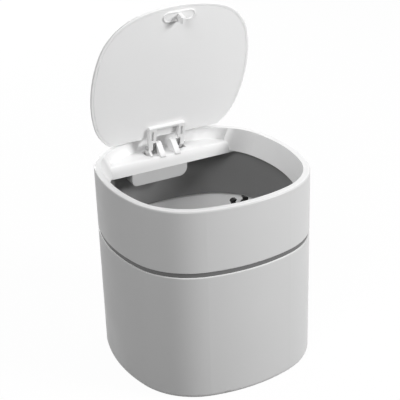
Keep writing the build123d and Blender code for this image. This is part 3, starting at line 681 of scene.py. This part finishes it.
def dress(node: str, finish: Finish) -> bpy.types.Object:
    """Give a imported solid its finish.

    Args:
        node: The solid's name.
        finish: What it is made of.

    Returns:
        The solid's object.
    """
    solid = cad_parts[node]
    if finish not in FINISHED:
        FINISHED[finish] = finish.material()
    solid.data.materials.clear()
    solid.data.materials.append(FINISHED[finish])
    log.info("%s is dressed in %s", node, finish.name)
    return solid


@dataclass
class Pail:
    """The lower shell.

    Args:
        finish: What it is made of.
    """

    finish: MouldedPlastic = PAIL_WHITE

    def build(self) -> None:
        """Dress the pail."""
        dress("bin_body", self.finish)


@dataclass
class BagRing:
    """The dark ring between pail and collar, which holds the bag.

    Args:
        finish: What it is made of.
    """

    finish: MouldedPlastic = RING_GREY

    def build(self) -> None:
        """Dress the ring."""
        dress("bag_ring", self.finish)


@dataclass
class Collar:
    """The upper shell with its rim, funnel, deck and shelf, and the housing under the deck.

    Args:
        finish: What the shell is made of.
        housing: What the housing is made of, its tone darkened with painted shade.
        screws: What the housing's screws are made of.
    """

    finish: MouldedPlastic = COLLAR_WHITE
    housing: MouldedPlastic = HOUSING_PAINTED_SHADE
    screws: DrawnSteel = BRIGHT_STEEL

    def build(self) -> None:
        """Dress the collar and what is screwed to it."""
        dress("collar", self.finish)
        dress("mechanism_housing", self.housing)
        dress("housing_screws", self.screws)


@dataclass
class Lid:
    """The lid's shell and liner, its bracket and its striker.

    Args:
        cover: What the shell is made of.
        liner: What the liner and the striker are made of.
        works: What the bracket is made of.
    """

    cover: MouldedPlastic = LID_WHITE
    liner: MouldedPlastic = LINER_WHITE
    works: MouldedPlastic = WORKS_WHITE

    def build(self) -> None:
        """Dress the lid's pieces."""
        dress("lid_cover", self.cover)
        dress("lid_liner", self.liner)
        dress("hinge_bracket", self.works)
        dress("striker", self.liner)


@dataclass
class HingeWorks:
    """The pins, the two springs and the damper's train.

    Args:
        pin: What the pins and the axle are made of.
        wire: What the springs are wound from.
        gear: What the gears are made of.
        barrel: What the damper's barrel is made of.
    """

    pin: DrawnSteel = BRIGHT_STEEL
    wire: DrawnSteel = DARK_WIRE
    gear: MouldedPlastic = GEAR_IVORY
    barrel: MouldedPlastic = BLACK_PLASTIC

    def build(self) -> None:
        """Dress the hinge and the damper."""
        for node in ("hinge_pin", "idler_axle"):
            dress(node, self.pin)
        for node in ("lid_spring_left", "lid_spring_right"):
            dress(node, self.wire)
        for node in ("idler_gear", "damper_gear"):
            dress(node, self.gear)
        dress("damper_barrel", self.barrel)


@dataclass
class TouchLatch:
    """The push latch in the front shelf.

    Args:
        finish: What its moulded pieces are made of.
        pin: What the claws' pins are made of.
        wire: What the spring is wound from.
        travel: How far the plunger goes down, in metres; not used.
    """

    finish: MouldedPlastic = BLACK_PLASTIC
    pin: DrawnSteel = BRIGHT_STEEL
    wire: DrawnSteel = DARK_WIRE
    travel: float = 3.4 * MM

    def _wind_spring(self) -> None:
        """Show the plunger's spring as an object of its own, a copy of the solid held to the upper
        body.
        """
        solid = dress("latch_spring", self.wire)
        coil = new_object("latch_coil", solid.data.copy())
        coil.matrix_world = solid.matrix_world.copy()
        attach(coil, "upper")
        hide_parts("latch_spring")
        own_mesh(coil)

    def build(self) -> None:
        """Dress the latch's pieces."""
        for node in ("latch_case", "latch_plunger", "latch_claw_left", "latch_claw_right"):
            dress(node, self.finish)
        dress("claw_pins", self.pin)
        self._wind_spring()


@dataclass
class Softbox:
    """One soft rectangular lamp, aimed at the can.

    Args:
        name: The lamp's name.
        azimuth: Where it stands round the can, in degrees from the front to the right.
        elevation: How high it stands, in degrees.
        distance: How far from the can's middle, in metres.
        width: Its width, in metres.
        height: Its height, in metres.
        power: Its power in watts.
    """

    name: str
    azimuth: float
    elevation: float
    distance: float
    width: float
    height: float
    power: float

    def build(self, middle: Vector) -> None:
        """Place the lamp.

        Args:
            middle: The point that it is aimed at.
        """
        way = way_to(self.azimuth, self.elevation)
        lamp = bpy.data.lights.new(self.name, "AREA")
        lamp.shape = "RECTANGLE"
        lamp.size, lamp.size_y = self.width, self.height
        lamp.energy = self.power
        stand = new_object(self.name, lamp)
        stand.location = middle + way * self.distance
        stand.rotation_euler = way.to_track_quat("Z", "Y").to_euler()
        log.info("%s stands at %s", self.name, tuple(round(c, 3) for c in stand.location))


@dataclass
class Studio:
    """The pale floor, the white surroundings and the lamps.

    Args:
        floor_half: Half the side of the floor, in metres.
        floor_tone: Brightness of the floor as it lights the can, linear.
        floor_shown_tone: Brightness of the floor where it is seen, linear.
        shadow_share: How much of the can's shadow is seen.
        fill: Strength of the light from all round.
        middle: The point that the lamps are aimed at, in metres.
        lamps: The lamps.
    """

    floor_half: float = 12.0
    floor_tone: float = 0.2
    floor_shown_tone: float = 0.9
    shadow_share: float = 0.035
    fill: float = 0.05
    middle: tuple[float, float, float] = (0.0, 0.0, 0.11)
    lamps: list[Softbox] = field(
        default_factory=lambda: [
            Softbox("key_softbox", 44, 25, 1.4, 0.4, 0.4, 17.2),
            Softbox("left_softbox", -50, 40, 1.4, 0.6, 0.6, 9.5),
            Softbox("rear_softbox", 140, 50, 1.4, 0.8, 0.8, 5.5),
            Softbox("back_softbox", 178, 12, 1.4, 0.7, 0.7, 7.5),
        ]
    )

    def _shown(self, wire: Wiring) -> Socket:
        """Return one for rays that should see plain white: from the camera, a gloss or a glass."""
        path = wire.node("ShaderNodeLightPath")
        seen = wire.math("MAXIMUM", path.outputs["Is Camera Ray"], path.outputs["Is Glossy Ray"])
        return wire.math("MAXIMUM", seen, path.outputs["Is Transmission Ray"])

    def _world(self) -> None:
        """Light the scene softly from all round, and show the background white."""
        world = bpy.data.worlds.new("studio_air")
        bpy.context.scene.world = world
        world.use_nodes = True
        world.node_tree.nodes.clear()
        wire = Wiring(world.node_tree)
        air = wire.node("ShaderNodeBackground")
        air.inputs["Color"].default_value = grey(1.0)
        wire.feed(air.inputs["Strength"], wire.math("MAXIMUM", self._shown(wire), self.fill))
        wire.surface(air.outputs[0], "ShaderNodeOutputWorld")

    def _floor(self) -> None:
        """Lay the floor, white to the camera but for a part of the can's shadow."""
        h = self.floor_half
        mesh = bpy.data.meshes.new("studio_floor")
        mesh.from_pydata([(-h, -h, 0), (h, -h, 0), (h, h, 0), (-h, h, 0)], [], [(0, 1, 2, 3)])
        floor = new_object("studio_floor", mesh)
        made, wire = new_material("studio_floor")
        shown = self._shown(wire)
        lit = wire.node("ShaderNodeBsdfDiffuse")
        tones = (grey(self.floor_tone), grey(self.floor_shown_tone))
        wire.feed(lit.inputs["Color"], wire.blend(shown, *tones))
        glow = wire.node("ShaderNodeEmission")
        glow.inputs["Color"].default_value = grey(1.0)
        both = wire.node("ShaderNodeMixShader")
        share = wire.math("MULTIPLY", shown, 1.0 - self.shadow_share)
        for socket, value in zip(both.inputs, (share, lit.outputs[0], glow.outputs[0])):
            wire.feed(socket, value)
        wire.surface(both.outputs[0])
        mesh.materials.append(made)

    def build(self) -> None:
        """Make the air, the floor and the lamps."""
        self._world()
        self._floor()
        for lamp in self.lamps:
            lamp.build(Vector(self.middle))


@dataclass
class PhotoCamera:
    """The camera of the photograph, from the fitted angles and distance.

    Args:
        azimuth: Degrees round the can from its front, to the right.
        elevation: Degrees above the horizon.
        roll: Degrees of roll.
        distance: Millimetres from the aim point.
        focal: Focal length in pixels of a picture as wide as PICTURE_PX.
        aside: Millimetres that the camera stands to its right.
        above: Millimetres that the camera stands above its line of sight.
        aim: The aim point, in millimetres.
        clip: Nearest and farthest distance that it sees, in metres.
    """

    azimuth: float = -27.267
    elevation: float = 25.335
    roll: float = -1.823
    distance: float = 876.985
    focal: float = 1077.623
    aside: float = -3.076
    above: float = 45.64
    aim: tuple[float, float, float] = (0.0, 0.0, 80.0)
    clip: Span = (0.01, 50.0)

    def build(self) -> None:
        """Place the camera and make it the scene's."""
        turn, tilt = math.radians(self.azimuth), math.radians(self.roll)
        back = way_to(self.azimuth, self.elevation)
        level = Vector((math.cos(turn), math.sin(turn), 0.0))
        upright = back.cross(level)
        right = level * math.cos(tilt) + upright * math.sin(tilt)
        up = upright * math.cos(tilt) - level * math.sin(tilt)
        where = Vector(self.aim) + back * self.distance + right * self.aside + up * self.above
        lens = bpy.data.cameras.new("photo_camera")
        lens.sensor_width = SENSOR_MM
        lens.lens = self.focal / PICTURE_PX * SENSOR_MM
        lens.clip_start, lens.clip_end = self.clip
        camera = new_object("photo_camera", lens)
        facing = Matrix((right, up, back)).transposed().to_4x4()
        camera.matrix_world = Matrix.Translation(where * MM) @ facing
        bpy.context.scene.camera = camera


def main() -> None:
    """Dress the can, set the studio and place the camera."""
    logging.basicConfig(level=logging.INFO, format="%(message)s")
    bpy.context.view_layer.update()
    bpy.context.scene.view_settings.view_transform = "Standard"
    for part in (Pail(), BagRing(), Collar(), Lid(), HingeWorks(), TouchLatch()):
        part.build()
    Studio().build()
    PhotoCamera().build()


if __name__ == "__main__":
    main()
